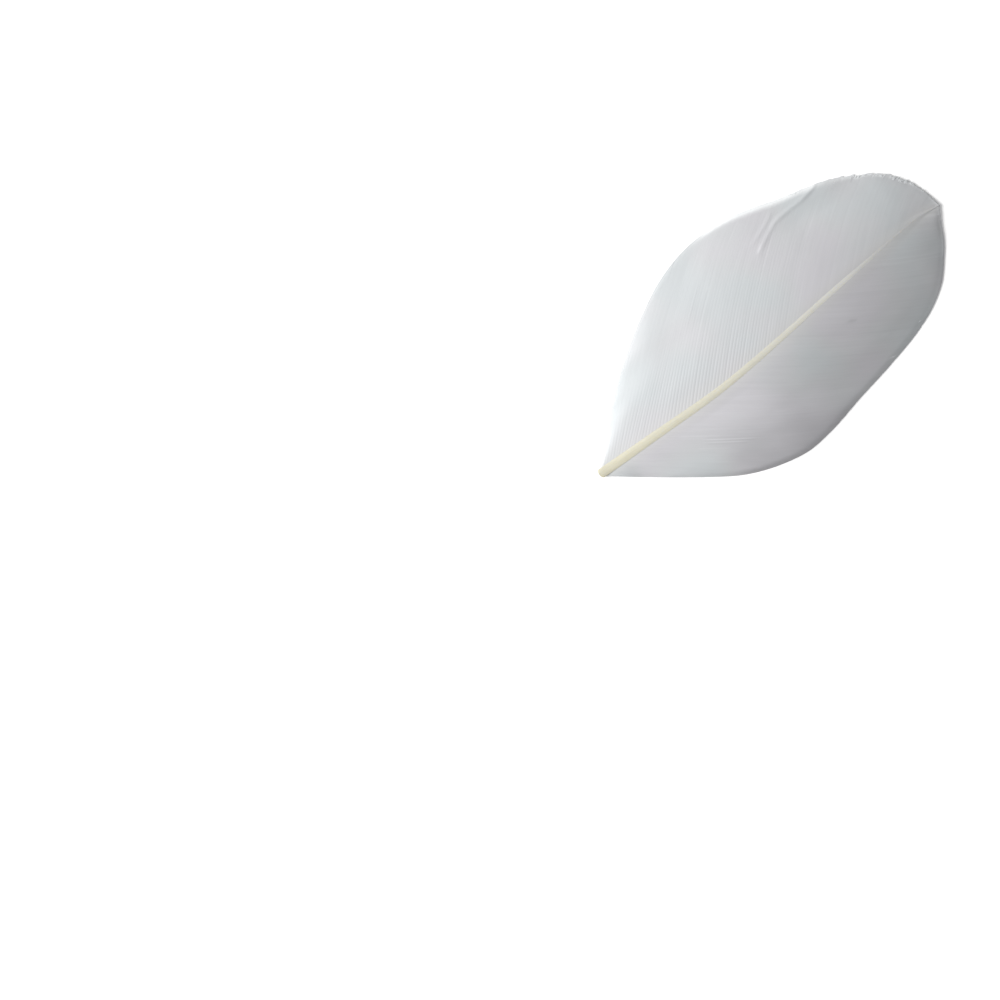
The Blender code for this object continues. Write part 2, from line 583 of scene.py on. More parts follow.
@dataclass(frozen=True)
class VaneFinish:
    """White vane keratin: fine barb lines, barbule hatching, faint tints, a soft sheen, and the painted
    highlights and shade of the look map.
    """

    name: str = "white_vane"
    body: Colour = (0.546, 0.555, 0.570)
    cool: Colour = (0.532, 0.557, 0.572)
    pink: Colour = (0.556, 0.550, 0.576)
    tint_scale: float = 95.0
    tint_stops: Triple = (0.36, 0.5, 0.64)
    warm: Colour = (0.562, 0.558, 0.550)
    warmth: float = 0.55
    warm_mm: float = 2.2
    pale: Colour = (0.82, 0.84, 0.85)
    # Step of the tone, which holds each barb's own tone and painted highlights and shade
    tone: float = 0.006
    streak: Triple = (0.16, 2.4, 1.0)
    streak_depth: float = 0.02
    fibre: Triple = (3.0, 26.0, 1.0)
    barbule_mm: float = 0.09
    barbule_lean: float = 0.8
    barbule_share: float = 0.35
    barbule_bump_mm: float = 0.003
    bump_strength: float = 0.6
    roughness: Pair = (0.58, 0.78)
    sheen: float = 0.12
    sheen_roughness: float = 0.45
    specular: float = 0.3

    def material(self) -> bpy.types.Material:
        """The finish as a node material.

        Returns:
            The material.
        """
        f = Finish(self.name)
        barb_map = f.uv(BARB_MAP)
        along, across = f.split(barb_map)
        # Paleness and tone carry painted light and painted shade
        paleness, tone = f.split(f.uv(LOOK_MAP))
        tint = f.noise(f.place(), self.tint_scale, 1.0)
        tinted = f.grade(tint, self.tint_stops, (self.cool, self.body, self.pink))
        near_shaft = f.math("SUBTRACT", 1.0, f.math("DIVIDE", along, self.warm_mm))
        warmth = f.math("MAXIMUM", f.math("MULTIPLY", near_shaft, self.warmth), 0.0)
        paled = f.mix(paleness, f.mix(warmth, tinted, self.warm), self.pale)
        streak = f.streaks(barb_map, self.streak, 3.0)
        shades = ((1 - self.streak_depth,) * 3, (1 + self.streak_depth,) * 3)
        streaked = f.mix(1.0, paled, f.grade(streak, SHADE_STOPS, shades), "MULTIPLY")
        toned = f.node("ShaderNodeVectorMath", operation="SCALE")
        f.link(streaked, toned.inputs[0])
        f.link(f.math("ADD", 1.0, f.math("MULTIPLY", tone, self.tone)), toned.inputs["Scale"])
        f.link(toned.outputs[0], f.shader.inputs["Base Color"])
        slant = f.math("ADD", along, f.math("MULTIPLY", across, self.barbule_lean))
        hatch = f.math("SINE", f.math("MULTIPLY", slant, math.tau / self.barbule_mm))
        fine = f.streaks(barb_map, self.fibre, 2.0)
        height = f.math("ADD", f.math("MULTIPLY", hatch, self.barbule_share), fine)
        f.bump(height, self.barbule_bump_mm * MM, self.bump_strength)
        f.gloss(self.roughness, streak)
        f.keep({
            "Sheen Weight": self.sheen,
            "Sheen Roughness": self.sheen_roughness,
            "Specular IOR Level": self.specular,
        })
        return f.material


@dataclass(frozen=True)
class QuillFinish:
    """Cream keratin of the shaft, which pales to the vane's white towards the tip."""

    name: str = "cream_quill"
    base: Colour = (0.575, 0.555, 0.450)
    middle: Colour = (0.630, 0.620, 0.552)
    upper: Colour = (0.705, 0.705, 0.685)
    tip: Colour = (0.590, 0.595, 0.605)
    stops: tuple[float, ...] = (0.05, 0.43, 0.70, 0.86)
    length_mm: float = 57.4
    streak: Triple = (0.35, 5.0, 1.0)
    dull: Colour = (0.94, 0.93, 0.90)
    bright: Colour = (1.05, 1.05, 1.04)
    bump_mm: float = 0.02
    bump_strength: float = 0.6
    roughness: Pair = (0.34, 0.52)
    subsurface: float = 0.4
    subsurface_radius: Triple = (1.0, 0.9, 0.7)
    subsurface_mm: float = 0.3
    specular: float = 0.3

    def material(self) -> bpy.types.Material:
        """The finish as a node material.

        Returns:
            The material.
        """
        f = Finish(self.name)
        shaft_map = f.uv(SHAFT_MAP)
        along = f.math("DIVIDE", f.split(shaft_map)[0], self.length_mm)
        colour = f.grade(along, self.stops, (self.base, self.middle, self.upper, self.tip))
        streak = f.streaks(shaft_map, self.streak, 4.0)
        shade = f.grade(streak, SHADE_STOPS, (self.dull, self.bright))
        f.link(f.mix(1.0, colour, shade, "MULTIPLY"), f.shader.inputs["Base Color"])
        f.bump(streak, self.bump_mm * MM, self.bump_strength)
        f.gloss(self.roughness, streak)
        f.keep({
            "Subsurface Weight": self.subsurface,
            "Subsurface Radius": self.subsurface_radius,
            "Subsurface Scale": self.subsurface_mm * MM,
            "Specular IOR Level": self.specular,
        })
        return f.material


@dataclass(frozen=True)
class PithFinish:
    """Dry white foam inside the shaft, with painted shade in its pores."""

    name: str = "white_pith"
    # Painted shade in the pores, where the cells are pits
    dark: Colour = (0.42, 0.38, 0.30)
    pale: Colour = (0.70, 0.68, 0.60)
    stops: Pair = (0.1, 0.5)
    cell_scale: float = 9000.0
    bump_mm: float = 0.04
    bump_strength: float = 0.8
    roughness: Pair = (0.8, 0.95)

    def material(self) -> bpy.types.Material:
        """The finish as a node material.

        Returns:
            The material.
        """
        f = Finish(self.name)
        cells = f.node("ShaderNodeTexVoronoi")
        cells.inputs["Scale"].default_value = self.cell_scale
        f.link(f.place(), cells.inputs["Vector"])
        depth = cells.outputs["Distance"]
        f.link(f.grade(depth, self.stops, (self.dark, self.pale)), f.shader.inputs["Base Color"])
        f.bump(depth, self.bump_mm * MM, self.bump_strength)
        f.gloss(self.roughness, depth)
        return f.material


@dataclass(frozen=True)
class FloorFinish:
    """Plain pale ground."""

    name: str = "pale_ground"
    colour: Colour = (0.95, 0.95, 0.95)
    darker: float = 0.995
    cloud_scale: float = 3.0
    roughness: float = 0.9
    glow: float = 0.19

    def material(self) -> bpy.types.Material:
        """The finish as a node material.

        Returns:
            The material.
        """
        f = Finish(self.name)
        dark = tuple(value * self.darker for value in self.colour)
        clouds = f.noise(f.place(), self.cloud_scale, 1.0)
        f.link(f.grade(clouds, SHADE_STOPS, (dark, self.colour)), f.shader.inputs["Base Color"])
        f.keep({
            "Roughness": self.roughness,
            "Specular IOR Level": 0.0,
            "Emission Color": (1.0, 1.0, 1.0, 1.0),
            "Emission Strength": self.glow,
        })
        return f.material


@dataclass(frozen=True)
class Crease:
    """A low fold that runs through a vane, along plan points."""

    path: Keys
    rise: float
    width: float
    start: Fade = Fade(1.0, 0.0, 0.25)
    stop: Fade = Fade(1.0, 0.85, 1.0)

    def lift(self, x: Array, y: Array) -> Array:
        """How far the fold raises the skin.

        Args:
            x: distances out from the chord.
            y: stations along it.

        Returns:
            Heights in millimetres, in the shape of x.
        """
        points = np.array(self.path)
        nearest = np.full(np.shape(x), np.inf)
        place = np.zeros(np.shape(x))
        for number, (start, end) in enumerate(zip(points[:-1], points[1:])):
            run = end - start
            share = np.clip(((x - start[0]) * run[0] + (y - start[1]) * run[1]) / (run @ run), 0.0, 1.0)
            distance = np.hypot(x - start[0] - share * run[0], y - start[1] - share * run[1])
            place = np.where(distance < nearest, (number + share) / (len(points) - 1), place)
            nearest = np.minimum(nearest, distance)
        ends = self.start.at(place) * (1 - self.stop.at(place))
        return self.rise * ends * np.exp(-((nearest / self.width) ** 2))


@dataclass(frozen=True)
class Fray:
    """Stretch of the margin where the barbs' tips part into bundles, by the barbs' root stations."""

    low: float
    high: float
    amount: float
    soft: float = 1.5

    def share(self, roots: Array) -> Array:
        """How strongly barbs are parted."""
        rising = ramp(roots, self.low - self.soft, self.low + self.soft)
        return self.amount * rising * (1 - ramp(roots, self.high - self.soft, self.high + self.soft))


@dataclass(frozen=True)
class PaintedLight:
    """A painted highlight (lighter) or painted shade (darker) on barbs near a root station, from one
    distance along them to another.
    """

    root: float
    start: float
    end: float
    tone: float
    spread: float = 0.30
    blend: float = 0.6

    def shade(self, roots: Array, along: Array) -> Array:
        """Change of tone, which is painted highlight or painted shade.

        Args:
            roots: root stations of the barbs.
            along: distances along them, in millimetres.

        Returns:
            The change, in the shape of along.
        """
        soft = min(self.blend, (self.end - self.start) / 3)
        window = ramp(along, self.start, self.start + soft) * (1 - ramp(along, self.end - soft, self.end))
        return self.tone * np.exp(-(((roots - self.root) / self.spread) ** 2)) * window


@dataclass
class SubAssembly:
    """What the feather's sub-assemblies share: the plan, where it lies, and how pieces are made."""

    plan: FeatherPlan
    placement: Placement

    def add(self, name: str, points: Array, faces: Faces) -> Piece:
        """Makes a piece from plan points and their heights, which are in the last axis."""
        return add_mesh(name, self.placement.carry(points.reshape(-1, 3)), faces)

    def dress(self, piece: Piece, finish: bpy.types.Material, slot: Slot) -> None:
        """Gives a piece its finish and its place in the frame.

        Args:
            piece: the piece.
            finish: its material.
            slot: its material slot in the record; not used.
        """
        piece.data.materials.append(finish)
        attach(piece, ROOT_BODY)
        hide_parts(FEATHER_NODE)


@dataclass
class Vane(SubAssembly):
    """One vane: a closed strip for each barb, from the shaft to its free tip."""

    side: Side
    seed: int
    frays: tuple[Fray, ...]
    creases: tuple[Crease, ...]
    # Painted highlights and painted shade on the barbs
    marks: tuple[PaintedLight, ...]

    # How pale the barbs' tips are, which is mostly painted light, the painted shade and highlight along the
    # margin, and how far each reaches
    pale_and_lit_tips: Curve
    rim_shade_and_highlight: Curve = Curve(((0, 0), (57.4, 0)))
    pale_width: Curve = Curve(((0, 1.6), (28, 1.6), (38, 0.9), (57.4, 0.7)))
    rim_fade: Fade = Fade(1.0, 1.0, 0.2)

    # Barbs along the shaft, and rings along a barb
    first_root: float = 0.25
    pitch: Curve = Curve(((0, 0.44), (4, 0.50), (9, 0.575), (57.4, 0.575)))
    root_limits: Pair = (-0.3, 57.0)
    inset: float = 0.25
    steps: int = 52
    body_share: float = 0.955
    tip_shares: tuple[float, ...] = (0.968, 0.979, 0.988, 0.995, 1.0)

    # A barb's section: places across it in pitches, heights, and how strong these are
    ring_roots: tuple[float, ...] = (-0.57, -0.38, -0.10, 0.10, 0.38, 0.57, 0.28, -0.28)
    ring_heights: tuple[float, ...] = (-0.0075, -0.0012, 0.003, 0.003, -0.0012, -0.0075, -0.085, -0.085)
    ridge_by_share: Keys = ((0, 1.45), (0.12, 1.35), (0.3, 0.85), (0.5, 0.6), (0.85, 0.4), (1, 0.3))
    ridge_by_root: Keys = ((0, 1.1), (22, 1.05), (34, 0.35), (40, 0.15), (57.4, 0.1))
    narrowing: Fade = Fade(0.12, 0.985, 1.0)
    thinning: Fade = Fade(0.5, 0.95, 1.0)

    # How barbs lean to the middle of their bundle, sway sideways and tilt
    bundle: Pair = (1.6, 4.2)
    parting: float = 0.012
    leaning: Fade = Fade(1.0, 0.80, 1.02)
    lean_power: float = 1.3
    waves: Pair = (1.7, 2.9)
    sway: float = 0.014
    sway_by_root: Keys = ((0, 1), (24, 1), (38, 0.2))
    steadying: Fade = Fade(0.7, 0.6, 1.0)
    tilt: float = 0.006
    tilt_by_root: Keys = ((0, 1), (24, 0.9), (40, 0.35))

    # How much barbs differ in length: everywhere, and in a fray singly and as bundles
    uneven: float = 0.0012
    ragged: float = 0.10
    ragged_bundle: float = 0.12

    # How far barbs sink towards their roots and their tips
    sink: float = 0.10
    root_sink: Fade = Fade(0.4, 0.0, 0.2)
    tip_sink: Fade = Fade(1.0, 0.9, 1.0)
    tip_drop: Curve = Curve(((0, 0.9), (26, 0.9), (40, 0.3), (57.4, 0.1)))

    def roots(self) -> Array:
        """Root stations of the barbs.

        Returns:
            Their stations, from the quill to the tip.
        """
        stations = [self.first_root]
        while stations[-1] < self.plan.last_root:
            stations.append(stations[-1] + float(self.pitch.at(stations[-1])))
        return np.array(stations)

    def shares(self) -> Array:
        """Shares along a barb of its rings, closer together at the tip."""
        return np.concatenate((np.linspace(0.0, self.body_share, self.steps), self.tip_shares))

    def turn(self) -> slice:
        """Order of a ring's points, reversed in the right vane so that its faces look outwards."""
        return slice(None, None, -1 if self.side is Side.RIGHT else 1)

    def spread(self, roots: Array, random: Random) -> tuple[Array, Array]:
        """How far each barb's tip leans to the middle of its bundle, and how long each barb is.

        Args:
            roots: root stations.
            random: the seeded generator.

        Returns:
            The change of root station at the tip in millimetres, and the length as a share of the plan's.
        """
        edges = [float(roots[0]) - 1.0]
        while edges[-1] < roots[-1]:
            edges.append(edges[-1] + random.uniform(*self.bundle))
        home = np.clip(np.searchsorted(edges, roots) - 1, 0, len(edges) - 2)
        middle = (np.array(edges)[home] + np.array(edges)[home + 1]) / 2
        fray = sum(part.share(roots) for part in self.frays)
        common = random.normal(0.0, 1.0, len(edges))[home]
        ragged = random.normal(0.0, self.ragged, len(roots)) + self.ragged_bundle * common
        length = 1.0 + random.normal(0.0, self.uneven, len(roots)) + fray * ragged
        return (middle - roots) * (self.parting + fray), length

    def build(self) -> Piece:
        """Makes the vane's mesh and keeps what its finish reads.

        Returns:
            The vane.
        """
        random = np.random.default_rng(self.seed)
        roots, shares = self.roots(), self.shares()
        count, rings = len(roots), len(shares)
        pull, length = self.spread(roots, random)
        tilt = random.normal(0.0, self.tilt, (count, 3)) * straight(self.tilt_by_root, roots)[:, None]
        sway = random.normal(0.0, self.sway, (count, 3)) * straight(self.sway_by_root, roots)[:, None]
        slow, fast = (math.pi * shares * turns for turns in self.waves)
        waves = np.stack([np.ones(rings), np.cos(slow), np.sin(fast)])
        root = roots[:, None, None]
        share = shares[None, :, None] * length[:, None, None]
        narrow = 1 - self.narrowing.at(shares)[None, :, None]
        offset = np.array(self.ring_roots) * self.pitch.at(roots)[:, None, None] * narrow
        lean = pull[:, None, None] * self.leaning.at(share) ** self.lean_power
        moved = root + offset + lean + (sway @ waves)[:, :, None] * (1 - self.steadying.at(share))
        moved = np.clip(moved, *self.root_limits)
        places = self.plan.barb_point(self.side, moved, share + 0 * offset, self.inset)
        x, y = places[..., 0], places[..., 1]
        ridge = np.array(self.ring_heights) * straight(self.ridge_by_share, shares)[None, :, None]
        ridge = ridge * straight(self.ridge_by_root, roots)[:, None, None]
        thin = 1 - self.thinning.at(shares)[None, :, None]
        settled = self.sink * (self.root_sink.at(share) + self.tip_drop.at(root) * self.tip_sink.at(share))
        z = self.plan.skin_height(x, y) - settled + ridge * thin + (tilt @ waves)[:, :, None] * offset
        z = z + sum(crease.lift(x, y) for crease in self.creases)
        points = np.stack((x, y, np.maximum(z, LOWEST)), axis=-1)
        faces = tube_faces(rings, len(self.ring_roots), count)
        piece = self.add(f"vane_{self.side.name.lower()}", points[:, :, self.turn()], faces)
        foot = self.plan.barb_point(self.side, roots, np.zeros(count))
        end = self.plan.barb_point(self.side, roots, np.ones(count))
        along = share * np.linalg.norm(end - foot, axis=-1)[:, None, None] + 0 * offset
        # Paler tips, mostly painted light
        pale = self.pale_and_lit_tips.at(root) * ramp(along - along[:, -1:, :], -self.pale_width.at(root), 0.0)
        across = root + offset
        # Each barb's own random tone plus painted highlights and painted shade
        tone = random.normal(0.0, 1.0, count)[:, None, None] + self.tone(x, y, along, across)
        along, across, pale, tone = (part[:, :, self.turn()] for part in (along, across, pale, tone))
        store(piece, BARB_MAP, along, across)
        store(piece, LOOK_MAP, pale, tone)
        return piece

    def tone(self, x: Array, y: Array, along: Array, across: Array) -> Array:
        """How much lighter or darker the vane is painted than its finish: painted highlights and painted
        shade.

        Args:
            x: distances out from the chord.
            y: stations along it.
            along: distances along the barbs.
            across: root stations.

        Returns:
            The tone in the finish's steps.
        """
        marks = sum(mark.shade(across, along) for mark in self.marks)
        # Painted shade along the margin, lighter near the tip
        rim = self.plan.vanes[self.side].width(y) - self.side.value * x
        return marks + self.rim_shade_and_highlight.at(y) * self.rim_fade.at(rim)


@dataclass
class Shaft(SubAssembly):
    """The quill shaft: an oval bow with a groove below, cut across at its base, and its pith."""

    # The section above and below the vanes
    ridge: float = 0.15
    ridge_fade: Fade = Fade(0.8, 10.0, 46.0)
    crest_power: float = 1.2
    crest_fade: Fade = Fade(0.8, 0.3, 3.0)
    side_power: float = 0.9
    bed: float = 0.005
    follow: Fade = Fade(1.0, 34.0, 46.0)
    keel: float = 0.85
    keel_power: float = 0.8
    vane_thickness: float = 0.30
    groove: float = 0.16
    groove_width: float = 0.28

    # Points around, and runs of stations along
    around: int = 28
    runs: tuple[tuple[float, float, int], ...] = ((0.0, 4.0, 24), (4.3, 56.8, 190))

    # The cut end
    wall: float = 0.16
    cut_lean: float = 0.22
    cut_round: float = 0.30
    cut_fade: Fade = Fade(1.0, -0.1, 1.6)
    lip: float = 0.93
    shrink_drop: float = 0.3

    # The pith: how deep it lies, its rings as shares and depths, and its roughness
    pith_depth: float = 0.10
    pith_taper: float = 0.98
    pith_rings: Keys = ((0.02, 0.02), (0.35, 0.02), (0.7, 0.03), (0.97, 0.06), (0.97, 0.30), (0.02, 0.30))
    pith_bulge: float = 0.1
    pith_rough: float = 0.02
    pith_seed: int = 11

    def angles(self) -> Array:
        """Angles around a section, from the right side over the top."""
        return np.linspace(0.0, math.tau, self.around, endpoint=False)[None, :]

    def hollow(self) -> float:
        """Scale of the hollow in the cut end against the skin."""
        return 1 - self.wall / float(self.plan.half_width.at(0.0))

    def section(self, station: Array, shrink: float = 1.0) -> Array:
        """Points of the shaft's skin.

        Args:
            station: stations along the chord, one to a row.
            shrink: scale of the section about its middle.

        Returns:
            Points in millimetres, in the last axis.
        """
        half = self.plan.half_width.at(station)
        bow = self.plan.bow.at(station)
        sine, cosine = np.sin(self.angles()), np.cos(self.angles())
        across = shrink * np.sign(cosine) * np.abs(cosine) ** self.side_power
        crest = self.crest_power + self.crest_fade.at(station)
        relief = self.ridge * half * (1 - self.ridge_fade.at(station)) + self.bed
        above = (relief + self.bed) * np.maximum(sine, 0.0) ** crest - self.bed
        notch = 1 - self.groove * np.exp(-((cosine / self.groove_width) ** 2))
        depth = self.keel * half + self.vane_thickness
        below = depth * np.maximum(-sine, 0.0) ** self.keel_power * notch
        middle = self.plan.skin_height(bow + self.follow.at(station) * across * half, station)
        z = middle + shrink * (above - below) - (1 - shrink) * self.shrink_drop * half
        return np.stack((bow + across * half, station + 0 * cosine, np.maximum(z, LOWEST)), axis=-1)

    def cut(self) -> Array:
        """Change of station of the cut end's rim, which is rounded and leans."""
        angle = self.angles()
        return self.cut_round * np.cos(angle) ** 2 + self.cut_lean * np.maximum(-np.sin(angle), 0.0)

    def cut_ring(self, shrink: float, shift: Array) -> Array:
        """A ring in the cut end.

        Args:
            shrink: scale of the section.
            shift: change of station of each point.

        Returns:
            The ring's points in millimetres.
        """
        ring = self.section(np.zeros((1, 1)), shrink)
        ring[..., 1] += shift
        return ring

    def build(self) -> Piece:
        """Makes the shaft's skin, its cut rim and the hollow behind it.

        Returns:
            The shaft.
        """
        station = np.concatenate([np.linspace(*run) for run in self.runs])[:, None]
        cut = self.cut() - self.plan.quill_stub
        skin = self.section(station)
        skin[..., 1] += (1 - self.cut_fade.at(station)) * cut
        bottom = self.cut_ring(self.hollow() * self.pith_taper, cut + self.pith_depth)
        rim = self.cut_ring(self.hollow(), cut), self.cut_ring(self.lip, cut)
        rings = np.concatenate((bottom, *rim, skin))
        piece = self.add("shaft", rings, tube_faces(len(rings), self.around))
        run = np.maximum(rings[..., 1], 0.0)
        store(piece, SHAFT_MAP, run, self.angles() + 0 * run)
        return piece

    def build_pith(self) -> Piece:
        """Makes the foam that fills the cut end.

        Returns:
            The pith, a plug with a lumpy front.
        """
        random = np.random.default_rng(self.pith_seed)
        rings = []
        for share, depth in self.pith_rings:
            front = depth < self.pith_depth
            rough = random.normal(0.0, self.pith_rough, (1, self.around)) if front else 0.0
            bulge = (1 - share) * self.pith_bulge
            shift = self.cut() * share + bulge - self.plan.quill_stub + depth + rough
            rings.append(self.cut_ring(self.hollow() * share, shift))
        return self.add("pith", np.concatenate(rings), tube_faces(len(rings), self.around))


@dataclass(frozen=True)
class Wisp:
    """A cluster of loose barb tips on a vane: where it starts, and its strands."""

    side: Side
    root: float
    share: float
    length: float
    count: int
    spread: float
    turn: float


@dataclass
class LooseBarbs(SubAssembly):
    """Fine barb tips that have come away from the vanes and lie on them."""

    wisps: tuple[Wisp, ...]
    seed: int = 5
    around: int = 5
    rings: int = 14

    # How strands differ: heading and turn in degrees, and share of the wisp's length
    heading_spread: float = 4.0
    turn_spread: float = 10.0
    lengths: Pair = (0.6, 1.15)

    # Share of a barb over which its heading is read
    way_step: float = 0.02

    # A strand's form: thickness and its taper to both ends, and its rise above the skin
    radius: float = 0.02
    tip_taper: float = 0.8
    root_share: float = 0.3
    root_gain: float = 6.0
    height: float = 0.03
    height_run: float = 1.1
    clearance: float = 0.01

    # What the finish reads: distances along and across them, and how pale they are
    map_run: Pair = (3.0, 5.0)
    map_lane: float = 1.7
    paleness: float = 0.9

    def strand(self, wisp: Wisp, random: Random) -> Array:
        """Rings of one strand.

        Args:
            wisp: the cluster that it belongs to.
            random: the seeded generator.

        Returns:
            Its points, one row for each ring.
        """
        root = np.array(wisp.root + random.normal(0.0, wisp.spread))
        places = (wisp.share, min(wisp.share + self.way_step, 1.0), wisp.share - self.way_step)
        start, ahead, behind = (self.plan.barb_point(wisp.side, root, np.array(at)) for at in places)
        way = ahead - behind
        heading = math.atan2(way[1], way[0]) + math.radians(random.normal(0.0, self.heading_spread))
        length = wisp.length * random.uniform(*self.lengths)
        turn = math.radians(wisp.turn + random.normal(0.0, self.turn_spread))
        t = np.linspace(0.0, 1.0, self.rings)
        angle = heading + turn * t
        steps = np.stack((np.cos(angle), np.sin(angle)), axis=-1) * length / self.rings
        line = np.cumsum(steps, axis=0) + start
        rise = self.height * np.sin(math.pi * np.clip(t * self.height_run, 0, 1)) + self.clearance
        z = self.plan.skin_height(line[:, 0], line[:, 1]) + rise
        thick = self.radius * (1 - self.tip_taper * t**2)
        thick = thick * np.minimum(1.0, self.root_share + t * self.root_gain)
        side = np.stack((-np.sin(angle), np.cos(angle)), axis=-1)
        around = np.linspace(0.0, math.tau, self.around, endpoint=False)
        points = np.zeros((self.rings, self.around, 3))
        points[..., :2] = line[:, None, :] + side[:, None, :] * (thick[:, None] * np.cos(around))[..., None]
        points[..., 2] = z[:, None] + thick[:, None] * np.sin(around)
        return points

    def build(self) -> Piece:
        """Makes all strands as one mesh.

        Returns:
            The loose barbs.
        """
        random = np.random.default_rng(self.seed)
        strands = [self.strand(wisp, random) for wisp in self.wisps for _ in range(wisp.count)]
        points = np.stack(strands)
        piece = self.add("loose_barbs", points, tube_faces(self.rings, self.around, len(strands)))
        level = np.zeros(points.shape[:3])
        run = np.linspace(*self.map_run, self.rings)[None, :, None] + level
        lane = np.arange(len(strands))[:, None, None] * self.map_lane + level
        store(piece, BARB_MAP, run, lane)
        store(piece, LOOK_MAP, level + self.paleness, level)
        return piece


@dataclass
class Studio:
    """Pale ground, soft light from the picture's left and a camera straight above."""

    placement: Placement
    lens_mm: float = 300.0
    sensor_mm: float = 36.0
    light_azimuth: float = 187.0
    light_elevation: float = 31.0
    light_softness: float = 40.0
    light_strength: float = 4.74
    light_colour: Colour = (1.0, 0.995, 0.985)
    sky: float = 0.27
    sky_colour: Colour = (0.985, 0.99, 1.0)
    floor_size: float = 6.0

    def picture_axes(self) -> tuple[Vector, Vector]:
        """The picture's right and up directions in the part's frame."""
        sine, cosine = math.sin(CHORD_ANGLE), math.cos(CHORD_ANGLE)
        return Vector((sine, cosine, 0.0)), Vector((-cosine, sine, 0.0))

    def add_floor(self) -> None:
        """Lays the ground at the resting height."""
        half = self.floor_size / 2
        corners = np.array([(-half, -half, 0.0), (half, -half, 0.0), (half, half, 0.0), (-half, half, 0.0)])
        floor = add_mesh("ground", corners, [(0, 1, 2, 3)])
        floor.data.materials.append(FloorFinish().material())

    def add_lights(self) -> None:
        """Sets a broad lamp to the picture's left and an even sky."""
        right, up = self.picture_axes()
        azimuth, elevation = math.radians(self.light_azimuth), math.radians(self.light_elevation)
        level = right * math.cos(azimuth) + up * math.sin(azimuth)
        towards = level * math.cos(elevation) + Vector((0.0, 0.0, math.sin(elevation)))
        lamp = bpy.data.lights.new("window_light", "SUN")
        lamp.energy = self.light_strength
        lamp.angle = math.radians(self.light_softness)
        lamp.color = self.light_colour
        holder = bpy.data.objects.new("window_light", lamp)
        holder.rotation_euler = towards.to_track_quat("Z", "Y").to_euler()
        bpy.context.scene.collection.objects.link(holder)
        world = bpy.data.worlds.new("sky")
        world.use_nodes = True
        background = world.node_tree.nodes["Background"]
        background.inputs["Color"].default_value = (*self.sky_colour, 1.0)
        background.inputs["Strength"].default_value = self.sky
        bpy.context.scene.world = world

    def add_camera(self) -> None:
        """Sets the camera over the middle of the photograph's frame."""
        right, up = self.picture_axes()
        across, down = ((to - start) * PIXEL_MM * MM for to, start in zip(CENTRE_PIXEL, QUILL_PIXEL))
        target = self.placement.origin() + right * across - up * down
        height = FRAME_PIXELS * PIXEL_MM * MM * self.lens_mm / self.sensor_mm
        camera = bpy.data.cameras.new("above")
        camera.lens, camera.sensor_width = self.lens_mm, self.sensor_mm
        holder = bpy.data.objects.new("above", camera)
        turn = Matrix((right, up, Vector((0.0, 0.0, 1.0)))).transposed().to_4x4()
        holder.matrix_world = Matrix.Translation(target + Vector((0.0, 0.0, height))) @ turn
        bpy.context.scene.collection.objects.link(holder)
        bpy.context.scene.camera = holder

    def build(self) -> None:
        """Makes the whole set."""
        self.add_floor()
        self.add_lights()
        self.add_camera()
        bpy.context.scene.view_settings.view_transform = "Standard"


LEFT_FRAYS = (Fray(31, 50, 0.055), Fray(52.5, 58, 0.03))
RIGHT_FRAYS = (Fray(50.5, 58, 0.04),)
LEFT_CREASES = (
    Crease(((-11.3, 33), (-11.8, 35.2), (-12.3, 36.7), (-12.8, 38), (-13.5, 39)), 0.035, 0.26),
    Crease((
        (-9.6, 33), (-10.35, 34.7), (-10.9, 35.9), (-12, 38.5), (-12.15, 41), (-12.2, 43.2), (-12.4, 46),
    ), 0.055, 0.32),
    Crease((
        (-11.95, 37.2), (-12.1, 39.2), (-12.1, 41), (-12.05, 42.8), (-12.4, 45.2), (-12.8, 46.4),
    ), 0.07, 0.26),
)

# Painted highlights and painted shade by root station, start and end along the barbs, tone, and where they
# differ spread and blend:
# rows for single barbs, as painted highlight and shade lines, come first, then rows for soft areas of
# painted shade and light
LEFT_PAINTED_LIGHT = tuple(PaintedLight(*row) for row in (
    (13.6, 14.8, 15.3, 9), (21.7, 14.7, 16.3, 26, 0.2), (23, 12, 17.5, -5, 0.35), (31, 11, 14, 4),
    (53.2, 1.2, 4, -9, 0.35),
    (1, 3, 9, -10, 1.2, 3), (1.8, 5, 14, -20, 1.3, 3), (3.8, 7, 40, -19, 3.2, 6),
    (12, 2, 11.5, 10, 4, 3), (29, 14, 40, -15, 5, 4), (33, 13, 19.5, -9, 2.5, 2.5),
))
RIGHT_PAINTED_LIGHT = tuple(PaintedLight(*row) for row in (
    (6, 6, 10.5, 7, 0.2), (7, 6.4, 12, -10, 0.16), (7.35, 5.4, 12, 19, 0.14, 2.2),
    (7.7, 5.8, 12.5, -11, 0.14), (8.05, 4.6, 12.8, 22, 0.14, 2.4), (8.4, 5, 13, -8, 0.16),
    (8.9, 2, 7, 8, 0.16), (9.6, 8, 12, 3), (14.6, 8.6, 11, 6), (24, 18, 19.2, 28, 0.25),
    (29.4, 12, 13.4, 7), (32.8, 5.1, 6.5, -22, 0.35), (54, 0.2, 2.6, 20, 0.45),
    (0.3, 7, 40, -22, 0.5), (1.5, 7, 13, -10, 1.5, 3), (2.5, 9, 40, -21, 3.5, 5),
    (7.5, -4, 17, -13, 4.5, 5), (15, 8, 21, 15, 4.5, 4), (16, -1, 2.6, -11, 5, 1),
    (18.5, 3, 40, 10, 5.5, 5), (28, 5, 13.5, 7, 5, 3), (34, 10, 40, -9, 4.5, 3),
    (36, 0, 9, 7, 5, 3), (46, 6, 40, 8, 4, 3),
))
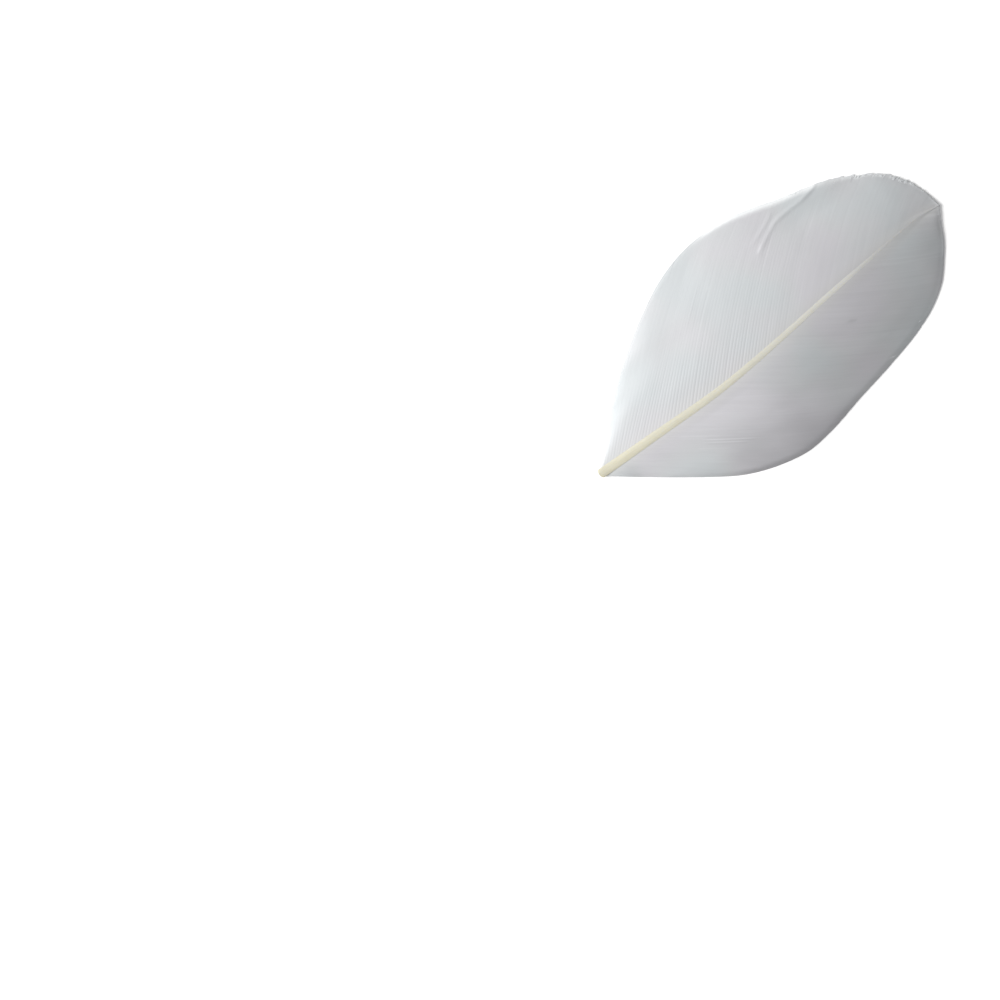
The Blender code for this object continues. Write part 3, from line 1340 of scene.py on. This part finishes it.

# By station: how pale the tips are, which is mostly painted light, and the right vane's margin, with
# painted shade that turns lighter near the tip
LEFT_PALE_AND_LIT = Curve((
    (0, 0), (6, 0.2), (9, 1), (16, 1.3), (28, 1.1), (31.5, 0.4), (36, 0.75), (44, 0.6), (50, 0.65),
    (57.4, 0.5),
))
RIGHT_PALE_AND_LIT = Curve(((0, 0), (42, 0.1), (50, 0.7), (57.4, 1)))
RIGHT_RIM_SHADE_AND_HIGHLIGHT = Curve((
    (0, 0), (9, -10), (12, -18), (16, -36), (21, -34), (25, -24), (36, -20), (44, -4), (48.5, 14),
    (52, 14), (57.4, 0),
))

# Clusters of loose barbs: root, share along the barb, length, number, spread along the shaft, turn
WISPS = (
    Wisp(Side.LEFT, 42, 0.955, 0.8, 26, 5, -6),
    Wisp(Side.LEFT, 47.5, 0.93, 0.8, 16, 2.4, 8),
    Wisp(Side.LEFT, 25.2, 0.975, 0.6, 5, 0.7, -10),
    Wisp(Side.RIGHT, 31.2, 0.93, 0.7, 2, 0.2, 12),
    Wisp(Side.RIGHT, 24.1, 0.94, 0.7, 2, 0.1, 12),
)


def main() -> None:
    """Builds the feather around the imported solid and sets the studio."""
    logging.basicConfig(level=logging.INFO, format="%(name)s: %(message)s")
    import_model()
    plan = FeatherPlan()
    placement = Placement(plan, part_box(FEATHER_NODE)[0])
    Studio(placement).build()
    vane_finish = VaneFinish().material()
    left = Vane(plan, placement, Side.LEFT, 21, LEFT_FRAYS, LEFT_CREASES, LEFT_PAINTED_LIGHT, LEFT_PALE_AND_LIT)
    right = Vane(plan, placement, Side.RIGHT, 34, RIGHT_FRAYS, (), RIGHT_PAINTED_LIGHT, RIGHT_PALE_AND_LIT, RIGHT_RIM_SHADE_AND_HIGHLIGHT)
    for vane in (left, right):
        piece = vane.build()
        vane.dress(piece, vane_finish, Slot.VANE)
        LOG.info("%s: %d barbs, %d faces", piece.name, len(vane.roots()), len(piece.data.polygons))
    shaft = Shaft(plan, placement)
    for piece, finish in ((shaft.build(), QuillFinish()), (shaft.build_pith(), PithFinish())):
        shaft.dress(piece, finish.material(), Slot.QUILL)
        LOG.info("%s: %d faces", piece.name, len(piece.data.polygons))
    loose = LooseBarbs(plan, placement, WISPS)
    strands = loose.build()
    loose.dress(strands, vane_finish, Slot.VANE)
    LOG.info("%s: %d faces", strands.name, len(strands.data.polygons))


if __name__ == "__main__":
    main()
